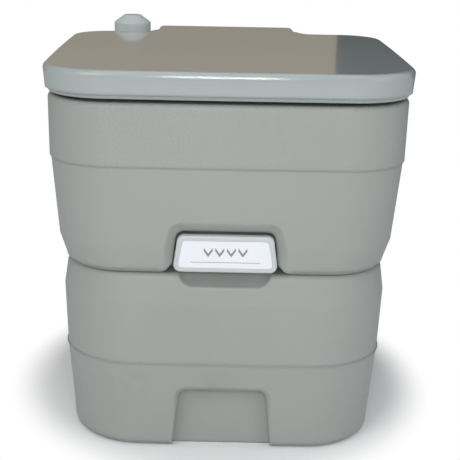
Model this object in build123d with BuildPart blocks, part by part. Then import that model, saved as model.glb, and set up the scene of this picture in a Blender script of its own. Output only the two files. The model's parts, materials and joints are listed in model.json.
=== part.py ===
from build123d import *
import math
import os

# Portable chemical toilet: a fresh water tank with bowl, seat and lid stands on a
# removable waste tank, with a slide valve between them.
# Millimetres, +Z up, front at -Y, origin at the middle of the footprint.

# Driving dimensions of the two tanks
wall = 3.0
waste_height = 190.0
fresh_height = 170.0
tank_gap = 0.3
lid_half_width = 183.0
lid_front = -205.0
tank_rear = 203.0
lid_thickness = 23.5
lid_rise = 7.5
upper_ridge_height = 109.5
lower_ridge_height = 95.6
ridge_proud = 1.2
ridge_half_height = 2.0
side_bow = 2.0
front_bow = 3.0

# Steps of a quarter round in degrees, and where an oval's arcs meet
round_turns = (0, 30, 60, 90)
oval_split = math.radians(50)

# Clearances
running_gap = 0.3
pin_gap = 0.08
slot_gap = 0.15

# Levels that follow from the heights
fresh_base = waste_height + tank_gap
deck = waste_height + fresh_height
shelf_drop = 12.0
shelf = deck - shelf_drop
shelf_front = 140.0
lid_bottom = deck + lid_rise
lid_top = lid_bottom + lid_thickness
upper_ridge = waste_height + upper_ridge_height
lower_ridge = lower_ridge_height

# How far each tank wall stands in from the lid's widest line, and its plan corners
waste_stations = [
    # height, inset of the sides, inset of the front, inset of the rear, corner radius
    (0.0, 25.0, 20.5, 17.0, 72.0),
    (lower_ridge, 19.0, 13.0, 10.0, 71.0),
    (waste_height * 0.84, 16.6, 12.0, 8.0, 70.0),
    (waste_height, 20.0, 15.5, 11.5, 67.0),
]
fresh_stations = [
    (fresh_base, 19.0, 12.5, 9.0, 62.0),
    (fresh_base + fresh_height * 0.16, 13.2, 10.0, 5.5, 63.0),
    (upper_ridge, 5.6, 8.2, 1.5, 64.0),
]
band_stations = [
    (upper_ridge - 1.2, 4.4, 7.0, 0.0, 65.0),
    (deck, 3.5, 7.0, 0.0, 65.0),
]

band_space_stations = [
    (upper_ridge - 2 * wall - 0.5, 4.4, 7.0, 0.0, 65.0),
    (deck, 3.5, 7.0, 0.0, 65.0),
]
deck_round = 4.0

# Slide valve
outlet_y = -26.0
outlet_radius = 44.0
blade_half_width = outlet_radius + 7.0
blade_thickness = 3.0
blade_rear = outlet_y + outlet_radius + 8.0
blade_front = -178.0
valve_front = -165.0
valve_rear = outlet_y + outlet_radius + 22.0
valve_half_width = blade_half_width + 15.0
valve_floor = 6.8
valve_cover_thickness = 5.7
handle_front = -198.0
handle_thickness = 7.0
handle_bottom = waste_height + 5.0
handle_height = 37.0
handle_half_bottom = 51.5
handle_half_top = 46.5

# Bowl
bowl_radius = 128.0

# Hinge of the seat and the lid
hinge_y = 188.0
hinge_z = deck + 14.0
hinge_pin_radius = 3.0
knuckle_radius = 7.5
tongue_half_width = 85.0
tongue_root = 99.0
tongue_shoulder = 130.0
tongue_rear = 200.0
lid_skin = 3.0

# Pump at the rear left and filler at the rear right
pump_x = -117.0
pump_y = 171.0
pump_stroke = 33.0
knob_radius = 22.5
knob_bottom = lid_top - 7.0
knob_height = 22.5
pump_barrel_radius = 17.0
pump_wall = 2.0
rod_radius = 4.0
filler_x = 120.0
filler_y = 168.0
filler_radius = 20.0

# Pour-out spout in the rear recess of the waste tank
spout_x = -85.0
spout_y = 157.0
spout_z = 156.0
spout_radius = 26.0
spout_bend = 30.0
spout_end = 75.0
recess_floor = 118.0
recess_front = 122.0
recess_half_width = 125.0

# Side latches
latch_y = 45.0
latch_width = 40.0
latch_x = 155.0
latch_pivot_z = waste_height + 34.0
latch_pin_radius = 2.5

# Vent button on the waste tank
vent_x = 78.0
vent_y = 96.0
vent_travel = 6.0


def outline(height, side_inset, front_inset, rear_inset, corner, inset=0.0):
    """Plan outline of a tank wall at one height, with gently bowed sides."""
    side = lid_half_width - side_inset - inset
    near = lid_front + front_inset + inset
    far = tank_rear - rear_inset - inset
    middle = (near + far) / 2
    with BuildSketch(Plane.XY.offset(height)) as drawn:
        with BuildLine():
            front_left = (-side + side_bow, near + front_bow)
            front_right = (side - side_bow, near + front_bow)
            rear_right = (side - side_bow, far - side_bow)
            rear_left = (-side + side_bow, far - side_bow)
            ThreePointArc(front_left, (0, near), front_right)
            ThreePointArc(front_right, (side, middle), rear_right)
            ThreePointArc(rear_right, (0, far), rear_left)
            ThreePointArc(rear_left, (-side, middle), front_left)
        make_face()
        fillet(drawn.vertices(), corner - inset)
    return drawn.sketch


def stack(stations, low_round=0.0, high_round=0.0, inset=0.0):
    """Outlines of a list of stations, with a quarter round at the foot and at the head."""
    sections = []
    last = len(stations) - 1
    for place, (height, side, front, rear, corner) in enumerate(stations):
        if place == 0 and inset > 0:
            height = height + inset
        if place == last and inset > 0:
            height = height - inset
        bend = low_round if place == 0 else high_round if place == last else 0.0
        if bend == 0.0:
            sections.append(outline(height, side, front, rear, corner, inset))
            continue
        turns = round_turns if place == 0 else reversed(round_turns)
        for turn in turns:
            rise = bend * (1 - math.cos(math.radians(turn)))
            step_in = bend * (1 - math.sin(math.radians(turn)))
            level = height + rise if place == 0 else height - rise
            sections.append(outline(level, side, front, rear, corner, inset + step_in))
    return sections


def oval(height, centre_y, half_x, half_y):
    """Smooth oval of four arcs about a centre line; equal halves give a circle."""
    sine = math.sin(oval_split)
    cosine = math.cos(oval_split)
    lean = (1 - sine) / cosine
    side_radius = (half_y - lean * half_x) / (sine - lean * (1 - cosine))
    end_radius = (half_x - side_radius * (1 - cosine)) / cosine
    joint_x = end_radius * cosine
    joint_y = side_radius * sine
    right_low = (joint_x, centre_y - joint_y)
    right_high = (joint_x, centre_y + joint_y)
    left_high = (-joint_x, centre_y + joint_y)
    left_low = (-joint_x, centre_y - joint_y)
    with BuildSketch(Plane.XY.offset(height)) as drawn:
        with BuildLine():
            ThreePointArc(right_low, (half_x, centre_y), right_high)
            ThreePointArc(right_high, (0, centre_y + half_y), left_high)
            ThreePointArc(left_high, (-half_x, centre_y), left_low)
            ThreePointArc(left_low, (0, centre_y - half_y), right_low)
        make_face()
    return drawn.sketch


def ridge(station):
    """Fine moulded ridge round a tank wall."""
    height, side, front, rear, corner = station
    lower = outline(height - ridge_half_height, side, front, rear, corner, wall / 2)
    middle_low = outline(height - 0.4, side, front, rear, corner, -ridge_proud)
    middle_high = outline(height + 0.4, side, front, rear, corner, -ridge_proud)
    upper = outline(height + ridge_half_height, side, front, rear, corner, wall / 2)
    with BuildPart() as bead:
        loft(sections=[lower, middle_low, middle_high, upper], ruled=True)
    return bead.part


def block(x_range, y_range, z_range, corner=0.0, grow=0.0):
    """Upright box between given limits, with rounded upright corners, grown all round."""
    width = x_range[1] - x_range[0] + 2 * grow
    depth = y_range[1] - y_range[0] + 2 * grow
    middle = ((x_range[0] + x_range[1]) / 2, (y_range[0] + y_range[1]) / 2)
    with BuildPart() as solid:
        with BuildSketch(Plane.XY.offset(z_range[0] - grow)):
            with Locations(middle):
                if corner + grow > 0:
                    RectangleRounded(width, depth, corner + grow)
                else:
                    Rectangle(width, depth)
        extrude(amount=z_range[1] - z_range[0] + 2 * grow)
    return solid.part


def upright_disc(x, y, z_range, radius, grow=0.0):
    """Upright cylinder between two heights."""
    with BuildPart() as solid:
        with BuildSketch(Plane.XY.offset(z_range[0] - grow)):
            with Locations((x, y)):
                Circle(radius + grow)
        extrude(amount=z_range[1] - z_range[0] + 2 * grow)
    return solid.part


def turned(x, y, *points):
    """Ring or disc turned about an upright axis from its half profile (radius, height)."""
    with BuildPart() as solid:
        with BuildSketch(Plane(origin=(x, y, 0), x_dir=(1, 0, 0), z_dir=(0, -1, 0))):
            with BuildLine():
                Polyline(*points, close=True)
            make_face()
        revolve(axis=Axis((x, y, 0), (0, 0, 1)))
    return solid.part


def flared_pocket(half_bottom, half_top, z_range, y_range, corner, grow=0.0):
    """Pocket in a front wall whose sides lean inwards towards the top."""
    low, high = z_range
    with BuildPart() as solid:
        with BuildSketch(Plane.XZ.offset(-y_range[1] - grow)) as face:
            with BuildLine():
                Polyline(
                    (-half_bottom - grow, low - grow),
                    (half_bottom + grow, low - grow),
                    (half_top + grow, high + grow),
                    (-half_top - grow, high + grow),
                    close=True,
                )
            make_face()
            fillet(face.vertices().group_by(Axis.Z)[-1], corner + grow)
        extrude(amount=y_range[1] - y_range[0] + grow)
    return solid.part


def mouth(half_bottom, half_top, z_range, inner_end, corner, grow):
    """Slanted edge round the mouth of a front pocket, reaching in as far as inner_end."""
    low, high = z_range
    slope = (half_bottom - half_top) / (high - low)
    foot = low - mouth_reach
    half_foot = half_bottom + mouth_reach * slope
    inner = inner_end + grow * math.tan(math.radians(22.5))
    outer = lid_front - 10
    sections = []
    for place, spread in ((outer, inner - outer + grow), (inner, grow)):
        with BuildSketch(Plane.XZ.offset(-place)) as face:
            with BuildLine():
                Polyline(
                    (-half_foot - spread, foot),
                    (half_foot + spread, foot),
                    (half_top + spread, high + spread),
                    (-half_top - spread, high + spread),
                    close=True,
                )
            make_face()
            fillet(face.vertices().group_by(Axis.Z)[-1], corner + spread)
        sections.append(face.sketch)
    with BuildPart() as solid:
        loft(sections=sections, ruled=True)
    return solid.part


# Waste tank
mouth_reach = 30.0
scoop_radius = 24.0
scoop_half_width = 46.0
foot_recess_height = 64.0
foot_recess_back = -172.0
foot_mouth_end = -184.5
foot_recess_half_top = 44.0
foot_recess_half_bottom = 53.0
pocket_depth_x = 147.0
pocket_outer_x = 200.0
latch_pocket_low = waste_height - 44.0
latch_pocket_high = latch_pivot_z + 14.0
vent_well_radius = 13.0
vent_well_depth = 14.0
base_round = 9.0
shoulder_round = 6.0


def finger_scoop(grow):
    """Hollow in the front shoulder that lets fingers in below the pull handle."""
    with BuildPart() as solid:
        with BuildSketch(Plane.YZ.offset(-scoop_half_width - grow)):
            with Locations((lid_front + 8, waste_height + 10)):
                Circle(scoop_radius + grow)
        extrude(amount=2 * (scoop_half_width + grow))
        fillet(solid.edges().filter_by(GeomType.CIRCLE), (scoop_radius + grow) * 0.6)
    return solid.part


def foot_recess(grow):
    """Hand recess at the bottom of the front wall, with a slanted edge round its mouth."""
    heights = (-20.0, foot_recess_height)
    with BuildPart() as solid:
        add(flared_pocket(foot_recess_half_bottom, foot_recess_half_top, heights,
                          (lid_front - 10, foot_recess_back), 8.0, grow))
        add(mouth(foot_recess_half_bottom, foot_recess_half_top, heights, foot_mouth_end, 8.0, grow))
    return solid.part


def spout_recess(grow):
    """Step at the rear of the waste tank that houses the spout."""
    return block(
        (-recess_half_width, recess_half_width),
        (recess_front, tank_rear + 20),
        (recess_floor, waste_height + 30),
        10.0,
        grow,
    )


def latch_pocket(side, low, high, grow):
    """Shallow side pocket for one latch; side is -1 or 1."""
    limits = sorted((side * pocket_depth_x, side * pocket_outer_x))
    half = latch_width / 2 + 3.0
    return block(limits, (latch_y - half, latch_y + half), (low, high), 5.0, grow)


def vent_well(grow):
    """Round well in the top of the waste tank for the vent button."""
    return upright_disc(
        vent_x, vent_y, (waste_height - vent_well_depth, waste_height + 20), vent_well_radius, grow
    )


with BuildPart() as waste_space:
    loft(sections=stack(waste_stations, inset=wall), ruled=True)
    add(finger_scoop(wall), mode=Mode.SUBTRACT)
    add(foot_recess(wall), mode=Mode.SUBTRACT)
    add(spout_recess(wall), mode=Mode.SUBTRACT)
    add(vent_well(wall), mode=Mode.SUBTRACT)
    for side in (-1, 1):
        add(latch_pocket(side, latch_pocket_low, waste_height + 30, wall), mode=Mode.SUBTRACT)

lug_depth = 8.0
lug_height = 9.0
lug_low = waste_height - 24.0
neck_height = 3.0

with BuildPart() as waste_tank:
    loft(sections=stack(waste_stations, base_round, shoulder_round), ruled=True)
    add(ridge(waste_stations[1]))
    add(finger_scoop(0), mode=Mode.SUBTRACT)
    add(foot_recess(0), mode=Mode.SUBTRACT)
    add(spout_recess(0), mode=Mode.SUBTRACT)
    add(vent_well(0), mode=Mode.SUBTRACT)
    for side in (-1, 1):
        add(latch_pocket(side, latch_pocket_low, waste_height + 30, 0), mode=Mode.SUBTRACT)
    add(waste_space.part, mode=Mode.SUBTRACT)
    add(upright_disc(0, outlet_y, (waste_height - 20, waste_height + 10), outlet_radius + 6.0), mode=Mode.SUBTRACT)
    add(upright_disc(spout_x, spout_y, (recess_floor - 20, recess_floor + 5), spout_radius - 4.0),
        mode=Mode.SUBTRACT)
    add(upright_disc(vent_x, vent_y, (waste_height - 40, waste_height), 3.4), mode=Mode.SUBTRACT)
    for side in (-1, 1):
        lug_x = sorted((side * (pocket_depth_x - 1.0), side * (pocket_depth_x + lug_depth)))
        lug_y = (latch_y - latch_width / 2 + 6, latch_y + latch_width / 2 - 6)
        add(block(lug_x, lug_y, (lug_low, lug_low + lug_height)))
waste_tank.part.label = "waste_tank"

# Fresh water tank
notch_half_bottom = handle_half_bottom + 5.5
notch_half_top = handle_half_top + 2.5
notch_back = -160.0
notch_mouth_end = -189.5
notch_foot_round = 12.0
notch_top = handle_bottom + handle_height + 6.0
channel_half_width = valve_half_width + 10.0
channel_top = waste_height + 22.0
channel_rear = valve_rear + 8.0
bowl_floor = waste_height + 17.0
throat_top = waste_height + 32.0
bowl_steps = 6
bowl_wall = 3.0
outlet_outer = outlet_radius + 2.0 + bowl_wall
post_width = 9.0
post_inner = tongue_half_width + 0.6
neck_top = shelf + 14.0


def handle_notch(grow):
    """Front notch of the upper tank, behind and above the pull handle."""
    bend = notch_foot_round - grow
    bend_x = notch_half_bottom + notch_foot_round
    bend_z = fresh_base + notch_foot_round
    with BuildPart() as solid:
        with BuildSketch(Plane.XZ.offset(-notch_back - grow)) as face:
            with BuildLine():
                Line((-bend_x, waste_height - 20), (bend_x, waste_height - 20))
                Line((bend_x, waste_height - 20), (bend_x, bend_z - bend))
                CenterArc((bend_x, bend_z), bend, 180, 90)
                Line((bend_x - bend, bend_z), (notch_half_top + grow, notch_top + grow))
                Line((notch_half_top + grow, notch_top + grow), (-notch_half_top - grow, notch_top + grow))
                Line((-notch_half_top - grow, notch_top + grow), (-bend_x + bend, bend_z))
                CenterArc((-bend_x, bend_z), bend, -90, 90)
                Line((-bend_x, bend_z - bend), (-bend_x, waste_height - 20))
            make_face()
            fillet(face.vertices().group_by(Axis.Z)[-1], 9.0 + grow)
        extrude(amount=notch_back - lid_front + 10 + grow)
        add(mouth(notch_half_bottom, notch_half_top, (bend_z, notch_top), notch_mouth_end, 9.0, grow))
    return solid.part


def valve_channel(grow):
    """Channel under the upper tank that clears the slide valve."""
    return block(
        (-channel_half_width, channel_half_width),
        (notch_back - 12, channel_rear),
        (waste_height - 20, channel_top),
        8.0,
        grow,
    )


def rear_shelf(grow):
    """Lowered deck behind the seat for pump, filler and hinges."""
    return block(
        (-lid_half_width - 20, lid_half_width + 20),
        (shelf_front, tank_rear + 20),
        (shelf, deck + 30),
        0.0,
        grow,
    )


def bowl_profile(grow):
    """Half profile of the bowl's wall from the outlet up to the deck, as radius and height."""
    throat = outlet_radius + 2.0 + grow
    points = [(throat, bowl_floor)]
    for step in range(bowl_steps + 1):
        fraction = step / bowl_steps
        spread = (bowl_radius - outlet_radius - 2.0) * math.sin(fraction * math.pi / 2)
        points.append((throat + spread, throat_top + fraction * (deck - throat_top)))
    return points


with BuildPart() as fresh_space:
    loft(sections=stack(fresh_stations, inset=wall), ruled=True)
    loft(sections=stack(band_space_stations, inset=wall), ruled=True)
    add(handle_notch(wall), mode=Mode.SUBTRACT)
    add(valve_channel(wall), mode=Mode.SUBTRACT)
    add(rear_shelf(wall), mode=Mode.SUBTRACT)
    for side in (-1, 1):
        add(latch_pocket(side, waste_height - 30, latch_pocket_high, wall), mode=Mode.SUBTRACT)

with BuildPart() as fresh_tank:
    loft(sections=stack(fresh_stations, base_round), ruled=True)
    loft(sections=stack(band_stations, high_round=deck_round), ruled=True)
    add(handle_notch(0), mode=Mode.SUBTRACT)
    add(valve_channel(0), mode=Mode.SUBTRACT)
    add(rear_shelf(0), mode=Mode.SUBTRACT)
    for side in (-1, 1):
        add(latch_pocket(side, waste_height - 30, latch_pocket_high, 0), mode=Mode.SUBTRACT)
    add(fresh_space.part, mode=Mode.SUBTRACT)
    add(upright_disc(0, outlet_y, (deck - 2 * wall, deck + wall), bowl_radius + bowl_wall + running_gap),
        mode=Mode.SUBTRACT)
    add(upright_disc(0, outlet_y, (channel_top - 10, channel_top + 10), outlet_outer + running_gap),
        mode=Mode.SUBTRACT)
    add(upright_disc(filler_x, filler_y, (shelf - 1, neck_top), filler_radius))
    add(upright_disc(filler_x, filler_y, (shelf - 10, neck_top + 1), filler_radius - 3.5),
        mode=Mode.SUBTRACT)
    add(upright_disc(pump_x, pump_y, (shelf - 10, shelf + 1), pump_barrel_radius + running_gap),
        mode=Mode.SUBTRACT)
    for side in (-1, 1):
        post_x = sorted((side * post_inner, side * (post_inner + post_width)))
        with BuildSketch(Plane.YZ.offset(post_x[0])):
            with Locations((hinge_y, hinge_z)):
                Circle(knuckle_radius)
            with Locations((hinge_y, (shelf + hinge_z) / 2 - 1)):
                Rectangle(2 * knuckle_radius, hinge_z - shelf + 2)
            with Locations((hinge_y, hinge_z)):
                Circle(hinge_pin_radius + pin_gap, mode=Mode.SUBTRACT)
        extrude(amount=post_width)
    for side in (-1, 1):
        ear_x = sorted((side * (pocket_depth_x - 1.0), side * (latch_x + 5.0)))
        for ear in (-1, 1):
            ear_y = latch_y + ear * (latch_width / 2 - 6.0)
            with BuildSketch(Plane.XZ.offset(-ear_y - 2.0)):
                with Locations(((ear_x[0] + ear_x[1]) / 2, latch_pivot_z)):
                    Rectangle(ear_x[1] - ear_x[0], 10.0)
                with Locations((side * latch_x, latch_pivot_z)):
                    Circle(latch_pin_radius + pin_gap, mode=Mode.SUBTRACT)
            extrude(amount=4.0)
fresh_tank.part.label = "fresh_tank"

# Bowl and flush fittings inside the fresh tank
flush_height = deck - 25.0
flush_pipe_radius = 5.5
flush_pipe_bore = 3.8
nozzle_radius = 8.0
nozzle_start = 99.0
nozzle_length = 17.0
rim_width = 12.0
rim_thickness = 2.4
barrel_bottom = shelf - 114.0
port_height = barrel_bottom + 12.0
aim = Vector(-62.0 - pump_x, 83.0 - pump_y, 0).normalized()


def from_pump(distance, height):
    """Point on the straight line from the pump towards the flush nozzle."""
    return Vector(pump_x + aim.X * distance, pump_y + aim.Y * distance, height)


with BuildPart() as bowl:
    add(turned(
        0,
        outlet_y,
        *bowl_profile(0),
        (bowl_radius, deck + rim_thickness),
        (bowl_radius + rim_width - 1, deck + rim_thickness),
        (bowl_radius + rim_width, deck + rim_thickness - 1),
        (bowl_radius + rim_width, deck),
        *reversed(bowl_profile(bowl_wall)),
    ))
    with BuildSketch(Plane(origin=from_pump(nozzle_start - 20, flush_height), z_dir=aim)):
        Circle(nozzle_radius + slot_gap)
    extrude(amount=50, mode=Mode.SUBTRACT)
bowl.part.label = "bowl"

with BuildPart() as flush_nozzle:
    with BuildSketch(Plane(origin=from_pump(nozzle_start, flush_height), z_dir=aim)):
        Circle(nozzle_radius)
    extrude(amount=nozzle_length)
    fillet(flush_nozzle.edges().filter_by(GeomType.CIRCLE).sort_by(Axis.Y)[0], 2.0)
    with BuildSketch(Plane(origin=from_pump(nozzle_start - 1, flush_height), z_dir=aim)):
        Circle(flush_pipe_bore)
    extrude(amount=nozzle_length - 3, mode=Mode.SUBTRACT)
    with BuildSketch(Plane(origin=from_pump(nozzle_start + 9, flush_height), z_dir=aim)):
        Rectangle(3 * nozzle_radius, 3.5)
    extrude(amount=5, mode=Mode.SUBTRACT)
flush_nozzle.part.label = "flush_nozzle"

with BuildPart() as flush_pipe:
    with BuildLine() as flush_route:
        Polyline(
            from_pump(pump_barrel_radius, port_height),
            from_pump(55.0, port_height),
            from_pump(55.0, flush_height),
            from_pump(nozzle_start, flush_height),
        )
    with BuildSketch(Plane(origin=from_pump(pump_barrel_radius, port_height), z_dir=aim)):
        Circle(flush_pipe_radius)
        Circle(flush_pipe_bore, mode=Mode.SUBTRACT)
    sweep(path=flush_route.wire(), transition=Transition.RIGHT)
    add(upright_disc(pump_x, pump_y, (port_height - 10, port_height + 10), pump_barrel_radius + 0.05),
        mode=Mode.SUBTRACT)
flush_pipe.part.label = "flush_pipe"

# Pump
flange_radius = 19.5
flange_height = 2.0
collar_radius = 19.4
collar_height = 7.0
knob_wall = 2.2
knob_skirt = 12.0
knob_roof = knob_bottom + 10.0
knob_top_radius = 10.2
piston_low = shelf - 32.0
piston_height = 10.0
piston_radius = pump_barrel_radius - pump_wall - 0.08
seal_low = piston_low + 3.5
seal_height = 3.0
seal_inner = piston_radius - 2.4
strainer_radius = 12.0
strainer_bottom = fresh_base + wall + 5.0
spring_wire = 0.8
coil_lengths = 12


with BuildPart() as pump_body:
    add(turned(
        pump_x,
        pump_y,
        (pump_barrel_radius - pump_wall, barrel_bottom + 3),
        (pump_barrel_radius - pump_wall, shelf + flange_height),
        (flange_radius, shelf + flange_height),
        (flange_radius, shelf),
        (pump_barrel_radius, shelf),
        (pump_barrel_radius, barrel_bottom),
        (5.0, barrel_bottom),
        (5.0, barrel_bottom + 3),
    ))
    with BuildSketch(Plane(origin=from_pump(0, port_height), z_dir=aim)):
        Circle(flush_pipe_bore)
    extrude(amount=pump_barrel_radius + 2, mode=Mode.SUBTRACT)
pump_body.part.label = "pump_body"

with BuildPart() as pump_collar:
    with BuildSketch(Plane.XY.offset(shelf + flange_height)):
        with Locations((pump_x, pump_y)):
            RegularPolygon(collar_radius, 12)
            Circle(rod_radius + running_gap, mode=Mode.SUBTRACT)
    extrude(amount=collar_height)
    chamfer(pump_collar.faces().sort_by(Axis.Z)[-1].outer_wire().edges(), 1.0)
pump_collar.part.label = "pump_collar"

with BuildPart() as foot_valve:
    add(turned(
        pump_x,
        pump_y,
        (4.5, barrel_bottom),
        (strainer_radius, barrel_bottom),
        (strainer_radius, strainer_bottom),
        (0.0, strainer_bottom),
        (0.0, strainer_bottom + 2),
        (strainer_radius - 2, strainer_bottom + 2),
        (strainer_radius - 2, barrel_bottom - 2),
        (4.5, barrel_bottom - 2),
    ))
    for turn in range(4):
        with BuildSketch(Plane.XY.offset(strainer_bottom + 5)):
            with Locations(Location((pump_x, pump_y), turn * 45)):
                Rectangle(3 * strainer_radius, 2.0)
        extrude(amount=barrel_bottom - strainer_bottom - 12, mode=Mode.SUBTRACT)
foot_valve.part.label = "foot_valve"

with BuildPart() as pump_knob:
    add(turned(
        pump_x,
        pump_y,
        (rod_radius + 0.02, knob_roof - 3),
        (rod_radius + 0.02, knob_roof + 4),
        (0.0, knob_roof + 4),
        (0.0, knob_bottom + knob_height),
        (knob_top_radius, knob_bottom + knob_height),
        (knob_radius, knob_bottom + knob_skirt + 1.5),
        (knob_radius, knob_bottom),
        (knob_radius - knob_wall, knob_bottom),
        (knob_radius - knob_wall, knob_roof),
        (rod_radius + 4.0, knob_roof),
        (rod_radius + 4.0, knob_roof - 3),
    ))
    knob_circles = pump_knob.edges().filter_by(GeomType.CIRCLE)
    fillet(knob_circles.filter_by(lambda rim: rim.radius > rod_radius + 5 and rim.center().Z > knob_roof), 1.2)
pump_knob.part.label = "pump_knob"

with BuildPart() as pump_rod:
    add(upright_disc(pump_x, pump_y, (piston_low + 2, knob_roof + 4), rod_radius))
pump_rod.part.label = "pump_rod"

with BuildPart() as piston:
    add(turned(
        pump_x,
        pump_y,
        (0.0, piston_low),
        (piston_radius, piston_low),
        (piston_radius, seal_low),
        (seal_inner, seal_low),
        (seal_inner, seal_low + seal_height),
        (piston_radius, seal_low + seal_height),
        (piston_radius, piston_low + piston_height),
        (rod_radius + 0.02, piston_low + piston_height),
        (rod_radius + 0.02, piston_low + 2),
        (0.0, piston_low + 2),
    ))
piston.part.label = "piston"

with BuildPart() as piston_seal:
    add(turned(
        pump_x,
        pump_y,
        (seal_inner, seal_low),
        (piston_radius + 0.05, seal_low),
        (piston_radius + 0.05, seal_low + seal_height),
        (seal_inner, seal_low + seal_height),
    ))
piston_seal.part.label = "piston_seal"


def coil_spring(x, y, low, high, radius, wire, turns):
    """Compression spring between two levels, of straight lengths round a helix."""
    rise = (high - low - 2 * wire) / (turns * coil_lengths)
    sections = []
    for place in range(turns * coil_lengths + 1):
        angle = 2 * math.pi * place / coil_lengths
        spot = (x + radius * math.cos(angle), y + radius * math.sin(angle), low + wire + place * rise)
        heading = (-math.sin(angle), math.cos(angle), 0)
        with BuildSketch(Plane(origin=spot, x_dir=(0, 0, 1), z_dir=heading)) as cut:
            RegularPolygon(wire, 6)
        sections.append(cut.sketch)
    with BuildPart() as solid:
        loft(sections=sections, ruled=True)
    return solid.part


with BuildPart() as pump_spring:
    add(coil_spring(pump_x, pump_y, barrel_bottom + 3.0, piston_low, 10.0, spring_wire, 6))
pump_spring.part.label = "pump_spring"

# Fill cap
cap_wall = 4.0
cap_bottom = shelf + 3.0
gasket_height = 2.2


def ribbed_cap(x, y, outer, inner, low, roof, top, ribs):
    """Upright screw cap, hollow below its roof, with grip ribs round its rim."""
    with BuildPart() as solid:
        add(turned(x, y, (0, roof), (0, top), (outer, top), (outer, low), (inner, low), (inner, roof)))
        chamfer(solid.edges().filter_by(GeomType.CIRCLE).group_by(Axis.Z)[-1], 1.5)
        with BuildSketch(Plane.XY.offset(low)):
            with Locations((x, y)):
                with PolarLocations(outer, ribs):
                    Rectangle(2.0, 2.2)
        extrude(amount=top - low - 3.0)
    return solid.part


with BuildPart() as fill_cap_seal:
    add(turned(
        filler_x,
        filler_y,
        (filler_radius - 3.5, neck_top),
        (filler_radius, neck_top),
        (filler_radius, neck_top + gasket_height),
        (filler_radius - 3.5, neck_top + gasket_height),
    ))
fill_cap_seal.part.label = "fill_cap_seal"

with BuildPart() as fill_cap:
    add(ribbed_cap(
        filler_x,
        filler_y,
        filler_radius + running_gap + cap_wall,
        filler_radius + 2 * running_gap,
        cap_bottom,
        neck_top + gasket_height + running_gap,
        neck_top + gasket_height + running_gap + cap_wall,
        20,
    ))
fill_cap.part.label = "fill_cap"

# Slide valve between the tanks
floor_top = waste_height + valve_floor
slot_top = floor_top + blade_thickness + 2 * slot_gap + 0.1
cover_top = slot_top + valve_cover_thickness
groove_inner = outlet_radius + 7.0
groove_outer = outlet_radius + 14.0
groove_depth = 3.0
upper_seal_inner = outlet_radius + 1.0
upper_seal_outer = outlet_radius + 10.0
screw_x = valve_half_width - 4.5
screw_rows = [valve_front + 15.0, (valve_front + valve_rear) / 2, valve_rear - 15.0]
screw_shank = 1.9
screw_head = 3.5
finger_half_width = 28.0
finger_back = -168.0


def valve_plate(low, high):
    """One plate of the valve housing."""
    return block(
        (-valve_half_width, valve_half_width), (valve_front, valve_rear), (low, high), 6.0
    )


with BuildPart() as valve_base:
    add(valve_plate(waste_height, slot_top))
    with BuildSketch(Plane.XY.offset(floor_top)):
        with Locations((0, (valve_front - 10 + blade_rear + slot_gap) / 2)):
            Rectangle(2 * (blade_half_width + slot_gap), blade_rear + slot_gap - valve_front + 10)
    extrude(amount=10, mode=Mode.SUBTRACT)
    add(upright_disc(0, outlet_y, (waste_height - 5, floor_top), outlet_radius + 5.7))
    add(upright_disc(0, outlet_y, (waste_height - 10, floor_top + 1), outlet_radius), mode=Mode.SUBTRACT)
    with BuildSketch(Plane.XY.offset(waste_height)):
        with Locations((0, outlet_y)):
            Circle(groove_outer)
            Circle(groove_inner, mode=Mode.SUBTRACT)
    extrude(amount=groove_depth, mode=Mode.SUBTRACT)
    for row in screw_rows:
        for side in (-1, 1):
            add(upright_disc(side * screw_x, row, (waste_height + 2, slot_top + 1), screw_shank + 0.02),
                mode=Mode.SUBTRACT)
valve_base.part.label = "valve_base"

with BuildPart() as valve_cover:
    add(valve_plate(slot_top, cover_top))
    add(upright_disc(0, outlet_y, (slot_top - 1, cover_top + 1), outlet_radius), mode=Mode.SUBTRACT)
    add(upright_disc(0, outlet_y, (cover_top - groove_depth, cover_top + 1), upper_seal_outer + 0.2),
        mode=Mode.SUBTRACT)
    for row in screw_rows:
        for side in (-1, 1):
            add(upright_disc(side * screw_x, row, (slot_top - 1, cover_top + 1), screw_shank + 0.1),
                mode=Mode.SUBTRACT)
    for row in (-100.0, -120.0, -140.0):
        with BuildSketch(Plane.XY.offset(cover_top)):
            with Locations((0, row)):
                SlotOverall(2 * blade_half_width, 4.0)
        extrude(amount=2.5)
valve_cover.part.label = "valve_cover"

with BuildPart() as valve_lower_seal:
    add(turned(
        0,
        outlet_y,
        (groove_inner + 0.2, waste_height),
        (groove_outer - 0.2, waste_height),
        (groove_outer - 0.2, waste_height + groove_depth),
        (groove_inner + 0.2, waste_height + groove_depth),
    ))
valve_lower_seal.part.label = "valve_lower_seal"

with BuildPart() as valve_upper_seal:
    add(turned(
        0,
        outlet_y,
        (upper_seal_inner, cover_top - groove_depth),
        (upper_seal_outer, cover_top - groove_depth),
        (upper_seal_outer, cover_top),
        (upper_seal_outer - 3, bowl_floor - running_gap),
        (upper_seal_inner, bowl_floor - running_gap),
    ))
valve_upper_seal.part.label = "valve_upper_seal"

with BuildPart() as valve_screws:
    for row in screw_rows:
        for side in (-1, 1):
            add(upright_disc(side * screw_x, row, (waste_height + 3, cover_top), screw_shank))
            add(upright_disc(side * screw_x, row, (cover_top, cover_top + 2), screw_head))
valve_screws.part.label = "valve_screws"

blade_low = floor_top + slot_gap
blade_top = blade_low + blade_thickness
arm_half_width = 46.0
arm_rear = valve_front - 2.5
arm_thickness = 3.5

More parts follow.
